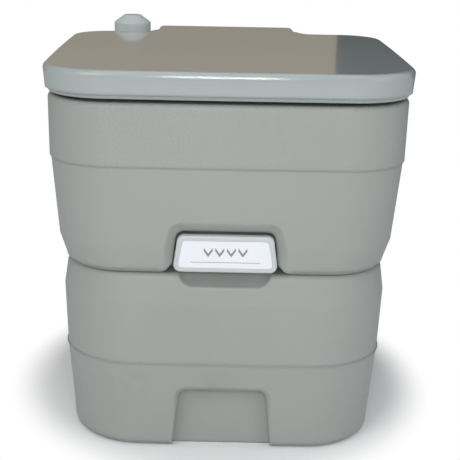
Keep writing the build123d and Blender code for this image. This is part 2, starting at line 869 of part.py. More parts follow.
with BuildPart() as valve_blade:
    add(block((-blade_half_width, blade_half_width), (blade_front, blade_rear), (blade_low, blade_top), 8.0))
    add(block((-finger_half_width, finger_half_width), (blade_front - 10, finger_back),
              (blade_low - 1, blade_top + 1), 4.0), mode=Mode.SUBTRACT)
    for side in (-1, 1):
        add(upright_disc(side * (arm_half_width - 8), blade_front + 6, (blade_low - 1, blade_top + 1), 1.6),
            mode=Mode.SUBTRACT)
valve_blade.part.label = "valve_blade"

label_depth = 1.2
label_inset = 5.0
handle_back = handle_front + handle_thickness


def handle_face(inset, front, back, corner):
    """Slab with the pull handle's outline, inset all round."""
    low = handle_bottom + inset
    high = handle_bottom + handle_height - inset
    with BuildPart() as solid:
        with BuildSketch(Plane.XZ.offset(-back)) as face:
            with BuildLine():
                Polyline(
                    (-handle_half_bottom + inset, low),
                    (handle_half_bottom - inset, low),
                    (handle_half_top - inset, high),
                    (-handle_half_top + inset, high),
                    close=True,
                )
            make_face()
            fillet(face.vertices(), corner)
        extrude(amount=back - front)
    return solid.part


with BuildPart() as pull_handle:
    add(handle_face(0.0, handle_front, handle_back, 7.0))
    fillet(pull_handle.faces().sort_by(Axis.Y)[0].edges(), 2.0)
    add(handle_face(label_inset, handle_front - 1, handle_front + label_depth, 3.5), mode=Mode.SUBTRACT)
    for side in (-1, 1):
        arm_x = sorted((side * (finger_half_width + 2), side * arm_half_width))
        add(block(arm_x, (handle_back - 0.5, arm_rear), (blade_top, blade_top + arm_thickness)))
        with BuildSketch(Plane.YZ.offset(min(side * arm_half_width, side * (arm_half_width - 3)))):
            with BuildLine():
                Polyline(
                    (handle_back - 0.5, blade_top + arm_thickness - 0.5),
                    (arm_rear, blade_top + arm_thickness - 0.5),
                    (handle_back - 0.5, handle_bottom + handle_height - 9),
                    close=True,
                )
            make_face()
        extrude(amount=3.0)
        add(upright_disc(side * (arm_half_width - 8), blade_front + 6,
                         (blade_top - 1, blade_top + arm_thickness + 1), 1.6), mode=Mode.SUBTRACT)
pull_handle.part.label = "pull_handle"

with BuildPart() as label_plate:
    add(handle_face(label_inset + 0.15, handle_front + 0.2, handle_front + label_depth, 3.35))
label_plate.part.label = "label_plate"

with BuildPart() as handle_screws:
    for side in (-1, 1):
        place = (side * (arm_half_width - 8), blade_front + 6)
        add(upright_disc(*place, (blade_low, blade_top + arm_thickness), 1.55))
        add(upright_disc(*place, (blade_top + arm_thickness, blade_top + arm_thickness + 1.8), 3.0))
handle_screws.part.label = "handle_screws"

# Pour-out spout
spout_bore = spout_radius - 3.0
spout_flange = spout_radius + 5.0
spout_seat = recess_floor + 3.0
nut_height = 10.0
spout_cap_outer = spout_radius + running_gap + 3.7
spout_neck = 15.0

with BuildPart() as pour_spout:
    with BuildLine() as spout_route:
        spout_rise = Line((spout_x, spout_y, spout_seat), (spout_x, spout_y, spout_z - spout_bend))
        spout_turn = TangentArc(
            (spout_x, spout_y, spout_z - spout_bend),
            (spout_x + spout_bend, spout_y, spout_z),
            tangent=(0, 0, 1),
        )
        spout_run = Line((spout_x + spout_bend, spout_y, spout_z), (spout_end, spout_y, spout_z))
    with BuildSketch(Plane.XY.offset(spout_seat)):
        with Locations((spout_x, spout_y)):
            Circle(spout_radius)
            Circle(spout_bore, mode=Mode.SUBTRACT)
    sweep(path=spout_route.wire())
    add(turned(
        spout_x,
        spout_y,
        (spout_bore - 3.0, recess_floor - 5),
        (spout_radius - 4.3, recess_floor - 5),
        (spout_radius - 4.3, spout_seat),
        (spout_flange, spout_seat),
        (spout_flange, spout_seat + 3),
        (spout_bore - 3.0, spout_seat + 3),
    ))
pour_spout.part.label = "pour_spout"

with BuildPart() as spout_seal:
    add(turned(
        spout_x,
        spout_y,
        (spout_radius - 3.5, recess_floor),
        (spout_flange - 1, recess_floor),
        (spout_flange - 1, spout_seat - slot_gap),
        (spout_radius - 3.5, spout_seat - slot_gap),
    ))
spout_seal.part.label = "spout_seal"

with BuildPart() as spout_nut:
    add(turned(
        spout_x,
        spout_y,
        (spout_flange + running_gap, recess_floor),
        (spout_flange + running_gap + 3, recess_floor),
        (spout_flange + running_gap + 3, recess_floor + nut_height),
        (spout_radius + 0.5, recess_floor + nut_height),
        (spout_radius + 0.5, spout_seat + 3 + running_gap),
        (spout_flange + running_gap, spout_seat + 3 + running_gap),
    ))
spout_nut.part.label = "spout_nut"


def on_spout(part):
    """Turn a part made about Z so that it lies on the spout's outlet, facing along +X."""
    return Location((spout_end, spout_y, spout_z), (0, 90, 0)) * part


with BuildPart() as spout_cap_seal:
    add(on_spout(turned(
        0, 0, (0, 0), (spout_radius, 0), (spout_radius, gasket_height), (0, gasket_height)
    )))
spout_cap_seal.part.label = "spout_cap_seal"

with BuildPart() as spout_cap:
    add(on_spout(ribbed_cap(
        0,
        0,
        spout_cap_outer,
        spout_radius + 2 * running_gap,
        -spout_neck,
        gasket_height + running_gap,
        gasket_height + running_gap + cap_wall,
        24,
    )))
spout_cap.part.label = "spout_cap"

# Vent button
vent_floor = waste_height - vent_well_depth
vent_cap_radius = 9.0
vent_cap_low = vent_floor + vent_travel + 2.0
vent_top = waste_height - 1.5
vent_stem = 3.0

with BuildPart() as vent_button:
    add(upright_disc(vent_x, vent_y, (vent_cap_low, vent_top), vent_cap_radius))
    fillet(vent_button.edges().filter_by(GeomType.CIRCLE).sort_by(Axis.Z)[-1], 1.5)
    add(upright_disc(vent_x, vent_y, (vent_floor - 6, vent_cap_low), vent_stem))
vent_button.part.label = "vent_button"

with BuildPart() as vent_seal:
    add(turned(
        vent_x,
        vent_y,
        (vent_stem, vent_floor - 6),
        (vent_stem + 3.5, vent_floor - 6),
        (vent_stem + 3.5, vent_floor - wall - running_gap),
        (vent_stem, vent_floor - wall - running_gap),
    ))
vent_seal.part.label = "vent_seal"

with BuildPart() as vent_spring:
    add(coil_spring(vent_x, vent_y, vent_floor, vent_cap_low, 6.0, 0.5, 3))
vent_spring.part.label = "vent_spring"

# Side latches
hook_top = lug_low - running_gap
hook_low = hook_top - 5.7
latch_thickness = 3.0
latch_knuckle = 5.5
ear_offset = latch_width / 2 - 6.0


def side_latch(side):
    """Latch lever that hangs from the fresh tank and hooks under a lug of the waste tank."""
    inner_x = latch_x + 1.0
    outer_x = inner_x + latch_thickness
    with BuildPart() as solid:
        with BuildSketch(Plane.XZ.offset(-latch_y - latch_width / 2)):
            with BuildLine():
                Polyline(
                    (side * inner_x, latch_pivot_z - 12.0),
                    (side * inner_x, hook_top),
                    (side * (pocket_depth_x + 3.5), hook_top),
                    (side * (pocket_depth_x + 3.5), hook_low + 2),
                    (side * (pocket_depth_x + 5.5), hook_low),
                    (side * outer_x, hook_low),
                    (side * outer_x, latch_pivot_z - 12.0),
                    close=True,
                )
            make_face()
        extrude(amount=latch_width)
        half = ear_offset - 2.3
        with BuildSketch(Plane.XZ.offset(-latch_y - half)):
            with Locations((side * latch_x, latch_pivot_z)):
                Circle(latch_knuckle)
            with Locations((side * (inner_x + outer_x) / 2, latch_pivot_z - 7.0)):
                Rectangle(latch_thickness, 14.0)
            with Locations((side * latch_x, latch_pivot_z)):
                Circle(latch_pin_radius + pin_gap, mode=Mode.SUBTRACT)
        extrude(amount=2 * half)
    return solid.part


with BuildPart() as latch_left:
    add(side_latch(-1))
latch_left.part.label = "latch_left"

with BuildPart() as latch_right:
    add(side_latch(1))
latch_right.part.label = "latch_right"

with BuildPart() as latch_pins:
    for side in (-1, 1):
        with BuildSketch(Plane.XZ.offset(-latch_y - ear_offset - 3.5)):
            with Locations((side * latch_x, latch_pivot_z)):
                Circle(latch_pin_radius)
        extrude(amount=2 * (ear_offset + 3.5))
latch_pins.part.label = "latch_pins"

# Lid and seat
lid_corner_front = 65.0
lid_corner_rear = 46.0
tongue_corner = 10.0
tongue_bend = 12.0
tongue_neck = 158.0
lid_draft = 2.0
lid_edge = 5.0
seat_inset = 5.5
seat_low = deck + 4.0
seat_high = seat_low + 16.0
seat_open_x = 98.0
seat_open_y = 122.0
seat_skin = 3.0
lid_knuckle_width = 9.0
knuckle_side_gap = 0.4
lid_knuckle_inner = tongue_half_width - lid_knuckle_width
seat_knuckle_outer = lid_knuckle_inner - knuckle_side_gap
seat_knuckle_inner = seat_knuckle_outer - 10.0


def lid_plan(height, inset, tongue=tongue_half_width, rear=tongue_rear):
    """Plan outline of the lid: rounded front, shouldered rear corners and a hinge tongue."""
    side = lid_half_width - inset
    front = lid_front + inset
    shoulder = tongue_shoulder - inset
    root = tongue_root - inset
    far = rear - inset
    with BuildSketch(Plane.XY.offset(height)) as drawn:
        with BuildLine():
            front_left = (-side + side_bow, front + front_bow)
            front_right = (side - side_bow, front + front_bow)
            rear_right = (side - side_bow, shoulder)
            rear_left = (-side + side_bow, shoulder)
            ThreePointArc(front_left, (0, front), front_right)
            ThreePointArc(front_right, (side, (front + shoulder) / 2), rear_right)
            Polyline(rear_right, (root, shoulder), (tongue - inset, tongue_neck), (tongue - inset, far),
                     (-tongue + inset, far), (-tongue + inset, tongue_neck), (-root, shoulder), rear_left)
            ThreePointArc(rear_left, (-side, (front + shoulder) / 2), front_left)
        make_face()
        corners = drawn.vertices()
        fillet(corners.filter_by(lambda spot: spot.Y < front + 20), lid_corner_front - inset)
        corners = drawn.vertices()
        fillet(corners.filter_by(lambda spot: spot.Y > shoulder - 5 and abs(spot.X) > side - 10),
               lid_corner_rear - inset)
        corners = drawn.vertices()
        fillet(corners.filter_by(lambda spot: abs(spot.Y - far) < 1), max(tongue_corner - inset, 3.0))
        corners = drawn.vertices()
        fillet(corners.filter_by(lambda spot: abs(spot.Y - shoulder) < 0.1 and abs(abs(spot.X) - root) < 0.1),
               tongue_bend + inset)
        corners = drawn.vertices()
        fillet(corners.filter_by(lambda spot: abs(spot.Y - tongue_neck) < 0.1), 30.0)
    return drawn.sketch



def hinge_barrel(x_low, x_high, radius):
    """Barrel on the hinge line between two places along X."""
    with BuildPart() as solid:
        with BuildSketch(Plane.YZ.offset(x_low)):
            with Locations((hinge_y, hinge_z)):
                Circle(radius)
        extrude(amount=x_high - x_low)
    return solid.part


with BuildPart() as lid_hollow:
    add(lid_plan(lid_bottom - 1, lid_skin + 1.0))
    extrude(amount=lid_thickness + 1 - lid_skin)

with BuildPart() as lid:
    add(lid_plan(lid_bottom, lid_draft))
    extrude(amount=lid_thickness, taper=-math.degrees(math.atan(lid_draft / lid_thickness)))
    fillet(lid.faces().sort_by(Axis.Z)[-1].edges(), lid_edge)
    add(lid_hollow.part, mode=Mode.SUBTRACT)
    for side in (-1, 1):
        barrel_x = sorted((side * lid_knuckle_inner, side * tongue_half_width))
        add(block(barrel_x, (hinge_y - knuckle_radius, hinge_y + knuckle_radius),
                  (hinge_z, lid_top - lid_edge - 1)))
        add(hinge_barrel(*barrel_x, knuckle_radius))
        add(hinge_barrel(barrel_x[0] - 1, barrel_x[1] + 1, hinge_pin_radius + pin_gap), mode=Mode.SUBTRACT)
lid.part.label = "lid"

seat_tongue = seat_knuckle_outer
seat_rear = hinge_y - knuckle_radius - 2.0
seat_arm = 6.0
foot_x = 142.0
foot_front = -150.0
foot_rear = 88.0
foot_radius = 7.0
foot_stem = 3.0
feet = [(side * foot_x, place) for side in (-1, 1) for place in (foot_front, foot_rear)]


def seat_plan(height, inset):
    """Plan outline of the seat, a little inside the lid's."""
    whole = seat_inset + inset
    return lid_plan(height, whole, seat_tongue + seat_inset, seat_rear + seat_inset)


def seat_oval(height, grow):
    """Opening of the seat at one height."""
    return oval(height, outlet_y - 4.0, seat_open_x + grow, seat_open_y + grow)


with BuildPart() as seat_hollow:
    add(seat_plan(seat_low - 1, seat_skin))
    extrude(amount=seat_high - seat_low + 1 - seat_skin)
    add(seat_oval(seat_low - 2, seat_skin))
    extrude(amount=seat_high - seat_low + 4, mode=Mode.SUBTRACT)
    for turn in range(8):
        with BuildSketch(Plane.XY.offset(seat_low + 2)):
            with Locations(Location((0, outlet_y), turn * 22.5 + 11.25)):
                Rectangle(4 * lid_half_width, 2.5)
        extrude(amount=seat_high, mode=Mode.SUBTRACT)
    for x, y in feet:
        add(upright_disc(x, y, (seat_low - 3, seat_high), foot_radius + 1.0), mode=Mode.SUBTRACT)

with BuildPart() as seat:
    add(seat_plan(seat_low, 0))
    extrude(amount=seat_high - seat_low)
    add(seat_oval(seat_low - 1, 0))
    extrude(amount=seat_high - seat_low + 2, mode=Mode.SUBTRACT)
    fillet(seat.faces().sort_by(Axis.Z)[-1].inner_wires()[0].edges(), 5.0)
    chamfer(seat.faces().sort_by(Axis.Z)[-1].outer_wire().edges(), 3.0)
    add(seat_hollow.part, mode=Mode.SUBTRACT)
    for side in (-1, 1):
        barrel_x = sorted((side * seat_knuckle_inner, side * seat_knuckle_outer))
        add(block(barrel_x, (seat_rear - 6, hinge_y), (hinge_z - seat_arm, hinge_z + seat_arm - 1)))
        add(hinge_barrel(*barrel_x, knuckle_radius))
        add(hinge_barrel(barrel_x[0] - 1, barrel_x[1] + 1, hinge_pin_radius + pin_gap), mode=Mode.SUBTRACT)
    for x, y in feet:
        add(upright_disc(x, y, (seat_low - 1, seat_low + 7), foot_stem + 0.05), mode=Mode.SUBTRACT)
seat.part.label = "seat"

with BuildPart() as seat_bumpers:
    for x, y in feet:
        add(upright_disc(x, y, (deck + running_gap, seat_low), foot_radius))
        add(upright_disc(x, y, (seat_low, seat_low + 6.5), foot_stem))
seat_bumpers.part.label = "seat_bumpers"

with BuildPart() as lid_bumpers:
    for x, y in feet:
        add(upright_disc(x, y, (seat_high + running_gap, lid_top - lid_skin), foot_radius - 1))
lid_bumpers.part.label = "lid_bumpers"

pin_head = 1.8

with BuildPart() as hinge_pins:
    for side in (-1, 1):
        shank_x = sorted((side * (seat_knuckle_inner - 0.5), side * (post_inner + post_width)))
        head_x = sorted((side * (post_inner + post_width), side * (post_inner + post_width + pin_head)))
        add(hinge_barrel(*shank_x, hinge_pin_radius))
        add(hinge_barrel(*head_x, hinge_pin_radius + 2.0))
hinge_pins.part.label = "hinge_pins"

nodes = [
    waste_tank, valve_base, valve_cover, valve_lower_seal, valve_upper_seal, valve_screws,
    spout_nut, spout_seal, pour_spout, spout_cap_seal, spout_cap,
    vent_button, vent_seal, vent_spring,
    valve_blade, pull_handle, label_plate, handle_screws,
    fresh_tank, bowl, flush_nozzle, flush_pipe, pump_body, pump_collar, foot_valve,
    latch_pins, hinge_pins,
    pump_knob, pump_rod, piston, piston_seal, pump_spring,
    fill_cap_seal, fill_cap,
    seat, seat_bumpers, lid, lid_bumpers,
    latch_left, latch_right,
]

os.makedirs("parts", exist_ok=True)
for node in nodes:
    export_step(node.part, "parts/" + node.part.label + ".step")
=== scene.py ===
import json
import math

import bpy
from mathutils import Matrix, Vector


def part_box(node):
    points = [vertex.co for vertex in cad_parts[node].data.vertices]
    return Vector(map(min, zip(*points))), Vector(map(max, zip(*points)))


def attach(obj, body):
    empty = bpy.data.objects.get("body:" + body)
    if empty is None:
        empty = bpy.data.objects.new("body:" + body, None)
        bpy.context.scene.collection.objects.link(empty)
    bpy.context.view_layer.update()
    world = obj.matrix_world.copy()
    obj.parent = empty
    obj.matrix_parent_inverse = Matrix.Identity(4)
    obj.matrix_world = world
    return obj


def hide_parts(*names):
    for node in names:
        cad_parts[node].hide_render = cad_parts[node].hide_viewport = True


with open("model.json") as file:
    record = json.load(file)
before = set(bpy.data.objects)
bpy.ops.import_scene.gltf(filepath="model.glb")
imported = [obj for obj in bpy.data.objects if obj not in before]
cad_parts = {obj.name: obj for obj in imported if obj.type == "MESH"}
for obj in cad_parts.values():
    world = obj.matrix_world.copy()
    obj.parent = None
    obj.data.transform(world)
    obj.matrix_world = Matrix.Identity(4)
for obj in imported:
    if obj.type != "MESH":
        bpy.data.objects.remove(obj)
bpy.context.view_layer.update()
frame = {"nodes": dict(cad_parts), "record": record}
nodes = frame["nodes"]

# Camera, found from the outlines in the photograph, in metres and degrees
camera_place = Vector((-0.0157, -1.2022, 0.5396))
camera_pitch = 15.41
camera_yaw = -0.37
camera_roll = 1.01
picture_size = 460
focal_pixels = 1089.7
centre_pixel_x = 203.4
centre_pixel_y = 205.4
sensor_width = 36.0

# Light levels
key_power = 8.9
fill_power = 3.3
front_power = 3.6
top_power = 2.2
room_level = 0.52
floor_size = 12.0
floor_half_x = 0.20
floor_half_y = 0.225
floor_fade_start = 0.94
floor_fade_end = 1.24

# Colours, as linear light
tank_colour = (0.318, 0.334, 0.316)
lid_colour = (0.340, 0.382, 0.370)
handle_colour = (0.50, 0.545, 0.535)
label_colour = (0.78, 0.78, 0.83)
mark_colour = (0.22, 0.23, 0.26)
spout_colour = (0.36, 0.385, 0.375)
valve_colour = (0.32, 0.35, 0.34)
inner_colour = (0.60, 0.61, 0.60)
rubber_colour = (0.025, 0.025, 0.027)
steel_colour = (0.58, 0.58, 0.57)
stain_colour = (0.20, 0.15, 0.09)
floor_colour = (0.90, 0.90, 0.90)
warm_wall_colour = (0.315, 0.262, 0.200)
dark_wall_colour = (0.045, 0.048, 0.050)
room_colour = (0.93, 0.96, 1.0)

# Cards behind the object, mirrored in the lid
wall_y = 1.6
wall_height = 2.2
wall_outer_left = -2.2
wall_split = 0.30
wall_outer_right = 2.6

# Reach of the softened edges
tank_edge = 0.005
lid_edge = 0.006
small_edge = 0.0012

# Relief of the tanks, its grain strongest from the band below the lid upward
grain_cells = 560.0
grain_depth = 0.00060
crease_depth = 0.00010
swell_depth = 0.0022
band_start = 0.297
band_end = 0.303
coat_roughness = 0.06

# Faint stains on the front: centre, reach and strength
stains = (
    ((-0.098, -0.19, 0.068), 0.030, 0.25),
    ((-0.010, -0.188, 0.066), 0.034, 0.22),
)


# Node helpers

def make(tree, kind, inputs=None, **values):
    """New shader node with some of its values set."""
    made = tree.nodes.new(kind)
    for name, value in values.items():
        setattr(made, name, value)
    for name, value in (inputs or {}).items():
        made.inputs[name].default_value = value
    return made


def wire(tree, source, output, target, name):
    """Link one node's output to another's input."""
    tree.links.new(source.outputs[output], target.inputs[name])


def shade(colour, factor):
    """A colour made lighter or darker."""
    return tuple(min(1.0, part * factor) for part in colour) + (1.0,)


def blank(name):
    """New material with an empty node tree, its output and its object coordinates."""
    material = bpy.data.materials.new(name)
    material.use_nodes = True
    tree = material.node_tree
    tree.nodes.clear()
    output = make(tree, "ShaderNodeOutputMaterial")
    spot = make(tree, "ShaderNodeTexCoord")
    return material, tree, output, spot


def noise(tree, spot, scale, detail=3.0, stretch=None):
    """Noise over object coordinates, stretched along an axis if asked."""
    made = make(tree, "ShaderNodeTexNoise", {"Scale": scale, "Detail": detail, "Roughness": 0.55})
    if stretch:
        mapping = make(tree, "ShaderNodeMapping", {"Scale": stretch})
        wire(tree, spot, "Object", mapping, "Vector")
        wire(tree, mapping, "Vector", made, "Vector")
    else:
        wire(tree, spot, "Object", made, "Vector")
    return made


def spread(tree, source, output, low, high, start=0.0, end=1.0):
    """Map a value from one range onto another, held at its ends."""
    reach = {"From Min": start, "From Max": end, "To Min": low, "To Max": high}
    made = make(tree, "ShaderNodeMapRange", reach)
    made.clamp = True
    wire(tree, source, output, made, "Value")
    return made


def times(tree, first, first_output, second, second_output):
    """Product of two values."""
    made = make(tree, "ShaderNodeMath", operation="MULTIPLY")
    tree.links.new(first.outputs[first_output], made.inputs[0])
    tree.links.new(second.outputs[second_output], made.inputs[1])
    return made


def blend_colour(tree, factor, factor_output, first, second):
    """Mix of two colours; each is a colour or a (node, output) pair."""
    made = make(tree, "ShaderNodeMix", data_type="RGBA")
    tree.links.new(factor.outputs[factor_output], made.inputs[0])
    for place, value in ((6, first), (7, second)):
        if isinstance(value[0], float):
            made.inputs[place].default_value = value
        else:
            tree.links.new(value[0].outputs[value[1]], made.inputs[place])
    return made


def soft_edges(tree, radius):
    """Normal of edges rounded off a little, as moulding leaves them."""
    return make(tree, "ShaderNodeBevel", {"Radius": radius}, samples=8)


# Materials

def pebble_grain(tree, spot, cells):
    """Rounded cells over object coordinates, for a leather grain."""
    inputs = {"Scale": cells, "Randomness": 1.0}
    made = make(tree, "ShaderNodeTexVoronoi", inputs, feature="SMOOTH_F1")
    wire(tree, spot, "Object", made, "Vector")
    return made


def plastic(
    name, colour, roughness,
    sheen=0.5, grain=0.0, cells=900.0, wear=0.03, coat=0.0, waviness=0.0, soft=0.0,
):
    """Moulded plastic: slow colour drift, uneven gloss, scuffs, soft edges, optional grain."""
    material, tree, output, spot = blank(name)
    body = make(tree, "ShaderNodeBsdfPrincipled", {"Specular IOR Level": sheen})
    drift = noise(tree, spot, 7.0)
    drifted = spread(tree, drift, "Fac", 0.0, 1.0, 0.3, 0.7)
    dull, bright = shade(colour, 1.0 - wear), shade(colour, 1.0 + wear)
    mixed = blend_colour(tree, drifted, "Result", dull, bright)
    scuffs = noise(tree, spot, 130.0, 5.0, (1.0, 1.0, 0.22))
    scuffed = spread(tree, scuffs, "Fac", 0.0, 0.30, 0.62, 0.80)
    worn = blend_colour(tree, scuffed, "Result", (mixed, 2), shade(colour, 1.12))
    wire(tree, worn, 2, body, "Base Color")
    gloss = noise(tree, spot, 38.0, 4.0)
    uneven = spread(tree, gloss, "Fac", roughness * 0.86, roughness * 1.16, 0.3, 0.7)
    wire(tree, uneven, "Result", body, "Roughness")
    if coat > 0:
        body.inputs["Coat Weight"].default_value = coat
        body.inputs["Coat Roughness"].default_value = coat_roughness
    last = None
    if soft > 0:
        last = soft_edges(tree, soft)
    if waviness > 0:
        swell = noise(tree, spot, 5.0, 1.0)
        waves = make(tree, "ShaderNodeBump", {"Strength": 1.0, "Distance": waviness})
        wire(tree, swell, "Fac", waves, "Height")
        if last:
            wire(tree, last, "Normal", waves, "Normal")
        last = waves
    if grain > 0:
        pebbles = pebble_grain(tree, spot, cells)
        bump = make(tree, "ShaderNodeBump", {"Strength": 0.6, "Distance": grain})
        wire(tree, pebbles, "Distance", bump, "Height")
        if last:
            wire(tree, last, "Normal", bump, "Normal")
        last = bump
    if last:
        wire(tree, last, "Normal", body, "Normal")
        if coat > 0:
            wire(tree, last, "Normal", body, "Coat Normal")
    wire(tree, body, "BSDF", output, "Surface")
    return material, tree, body, worn, spot


def stain(tree, spot, centre, reach):
    """Soft blotch round one place, broken up by noise."""
    shift = make(tree, "ShaderNodeVectorMath", operation="DISTANCE")
    wire(tree, spot, "Object", shift, 0)
    shift.inputs[1].default_value = centre
    near = spread(tree, shift, "Value", 1.0, 0.0, 0.0, reach)
    broken = noise(tree, spot, 60.0, 4.0)
    patchy = spread(tree, broken, "Fac", 0.0, 1.0, 0.42, 0.68)
    return times(tree, near, "Result", patchy, "Result")


def tank_look():
    """Matt tank plastic: leather grain, strongest on the band below the lid, faint stains."""
    material, tree, body, worn, spot = plastic(
        "tank_plastic", tank_colour, 0.43, sheen=0.42, wear=0.025
    )
    place = make(tree, "ShaderNodeSeparateXYZ")
    wire(tree, spot, "Object", place, "Vector")
    on_band = spread(tree, place, "Z", 0.34, 1.0, band_start, band_end)
    pebbles = pebble_grain(tree, spot, grain_cells)
    creases = noise(tree, spot, 1500.0, 2.0)
    relief = times(tree, pebbles, "Distance", on_band, "Result")
    bump = make(tree, "ShaderNodeBump", {"Strength": 0.85, "Distance": grain_depth})
    wire(tree, relief, 0, bump, "Height")
    fine = make(tree, "ShaderNodeBump", {"Strength": 0.35, "Distance": crease_depth})
    wire(tree, creases, "Fac", fine, "Height")
    swell = noise(tree, spot, 9.0, 1.5)
    slow = make(tree, "ShaderNodeBump", {"Strength": 0.5, "Distance": swell_depth})
    wire(tree, swell, "Fac", slow, "Height")
    rounded = soft_edges(tree, tank_edge)
    wire(tree, rounded, "Normal", slow, "Normal")
    wire(tree, slow, "Normal", fine, "Normal")
    wire(tree, fine, "Normal", bump, "Normal")
    wire(tree, bump, "Normal", body, "Normal")
    marked = worn
    for centre, reach, strength in stains:
        blotch = stain(tree, spot, centre, reach)
        faint = make(tree, "ShaderNodeMath", operation="MULTIPLY")
        faint.inputs[1].default_value = strength
        tree.links.new(blotch.outputs[0], faint.inputs[0])
        marked = blend_colour(tree, faint, 0, (marked, 2), stain_colour + (1.0,))
    wire(tree, marked, 2, body, "Base Color")
    return material


def rubber_look():
    """Dull black rubber with a fine pitted skin."""
    return plastic(
        "rubber_black", rubber_colour, 0.72, sheen=0.3, grain=0.00008, cells=2200.0, wear=0.2
    )[0]


def steel_look():
    """Bright steel with fine drawn lines."""
    material, tree, output, spot = blank("steel_bright")
    body = make(tree, "ShaderNodeBsdfPrincipled", {"Metallic": 1.0})
    lines = noise(tree, spot, 900.0, 3.0, (0.08, 1.0, 1.0))
    tone = blend_colour(tree, lines, "Fac", shade(steel_colour, 0.86), shade(steel_colour, 1.1))
    wire(tree, tone, 2, body, "Base Color")
    uneven = spread(tree, lines, "Fac", 0.22, 0.40)
    wire(tree, uneven, "Result", body, "Roughness")
    wire(tree, body, "BSDF", output, "Surface")
    return material


looks = {
    "tank_plastic": tank_look(),
    "lid_plastic": plastic(
        "lid_plastic", lid_colour, 0.13,
        sheen=0.62, wear=0.012, coat=0.55, waviness=0.0009, soft=lid_edge,
    )[0],
    "handle_frame": plastic(
        "handle_frame", handle_colour, 0.34, grain=0.00004, cells=1500.0, soft=small_edge
    )[0],
    "label_white": plastic("label_white", label_colour, 0.38, wear=0.015)[0],
    "spout_plastic": plastic("spout_plastic", spout_colour, 0.42, grain=0.00006)[0],
    "valve_plastic": plastic("valve_plastic", valve_colour, 0.45, grain=0.00006)[0],
    "inner_plastic": plastic("inner_plastic", inner_colour, 0.36)[0],
    "rubber_black": rubber_look(),
    "steel_bright": steel_look(),
}
mark_look = plastic("label_print", mark_colour, 0.55, wear=0.06)[0]

for row in frame["record"]["subparts"]:
    for place in nodes[row["node"]].material_slots:
        place.link = "OBJECT"
        place.material = looks[row["material_slot"]]


# The upper tank's front notch as the photograph shows it, closed up to the pull handle

handle_low, handle_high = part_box("pull_handle")
notch_side_gap = 0.0012
notch_top_gap = 0.0022
notch_foot = 0.1903
notch_bend = 0.012
notch_half_low = 0.057
notch_half_high = 0.049
notch_high = 0.238
notch_corner = 0.009
notch_behind = -0.155
notch_reach_side = 0.0705
notch_reach_top = 0.252
notch_fade_start = 0.0012
notch_fade_end = 0.0028
handle_half_low = handle_high.x
handle_half_high = 0.0465


def share(value, start, end):
    """How far a value has gone from start to end, held between 0 and 1."""
    return max(0.0, min(1.0, (value - start) / (end - start)))


def notch_half(height):
    """Half width of the notch at one height."""
    bend_top = notch_foot + notch_bend
    if height < bend_top:
        drop = min(notch_bend, bend_top - height)
        return notch_half_low + notch_bend - math.sqrt(notch_bend ** 2 - drop ** 2)
    return notch_half_low + (notch_half_high - notch_half_low) * share(height, bend_top, notch_high)


def beyond_notch(across, height):
    """Distance from the notch's outline, positive outside it."""
    half = notch_half(height)
    past_side = across - half + notch_corner
    past_top = height - notch_high + notch_corner
    if past_side > 0 and past_top > 0:
        return math.hypot(past_side, past_top) - notch_corner
    return max(across - half, height - notch_high)


def close_notch():
    """Copy of the upper tank with the notch's walls drawn in round the handle."""
    source = nodes["fresh_tank"]
    made = bpy.data.objects.new("fresh_tank_shell", source.data.copy())
    bpy.context.scene.collection.objects.link(made)
    made.matrix_world = source.matrix_world.copy()
    made.data.materials.clear()
    made.data.materials.append(looks["tank_plastic"])
    back = made.matrix_world.inverted()
    side_low = notch_half_low - handle_half_low - notch_side_gap
    side_high = notch_half_high - handle_half_high - notch_side_gap
    drop = notch_high - handle_high.z - notch_top_gap
    for point in made.data.vertices:
        place = made.matrix_world @ point.co
        across = abs(place.x)
        if across > notch_reach_side or place.z > notch_reach_top or place.y > notch_behind:
            continue
        away = beyond_notch(across, place.z)
        pull = 1.0 - share(away, notch_fade_start, notch_fade_end)
        if pull == 0.0:
            continue
        rise = share(place.z, notch_foot, notch_foot + notch_bend)
        climb = share(place.z, notch_foot + notch_bend, notch_high)
        inward = pull * rise * (side_low + (side_high - side_low) * climb)
        place.x -= math.copysign(min(inward, across), place.x)
        place.z -= pull * climb * drop
        point.co = back @ place
    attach(made, "fresh_tank")
    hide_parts("fresh_tank")


close_notch()


# Face of the label, a little taller than the plate it covers, and its printed marks:
# plain chevrons over a thin line

def flat_piece(name, outlines, front, depth, look):
    """Thin plates standing in the XZ plane, one for each outline of (x, z) corners."""
    points = []
    faces = []
    for outline in outlines:
        start = len(points)
        count = len(outline)
        points += [(x, front, z) for x, z in outline]
        points += [(x, front + depth, z) for x, z in outline]
        faces.append(tuple(range(start, start + count)))
        faces.append(tuple(reversed(range(start + count, start + 2 * count))))
        for place in range(count):
            after = (place + 1) % count
            near, far = start + place, start + after
            faces.append((far, near, near + count, far + count))
    mesh = bpy.data.meshes.new(name)
    mesh.from_pydata(points, [], faces)
    mesh.validate()
    made = bpy.data.objects.new(name, mesh)
    bpy.context.scene.collection.objects.link(made)
    made.data.materials.append(look)
    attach(made, "slide_valve")
    return made


label_low, label_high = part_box("label_plate")
label_middle = (label_low + label_high) / 2
face_depth = 0.00015
face_rise = 0.0019
face_corner = 0.0035
corner_steps = 5
print_depth = 0.00012
chevron_width = 0.0086
chevron_height = 0.0092
chevron_stroke = 0.0032
chevron_pitch = 0.0112
chevron_count = 4
chevron_centre_z = label_middle.z + 0.0022
line_half_width = 0.034
line_z = label_low.z + 0.0052
line_thickness = 0.0005


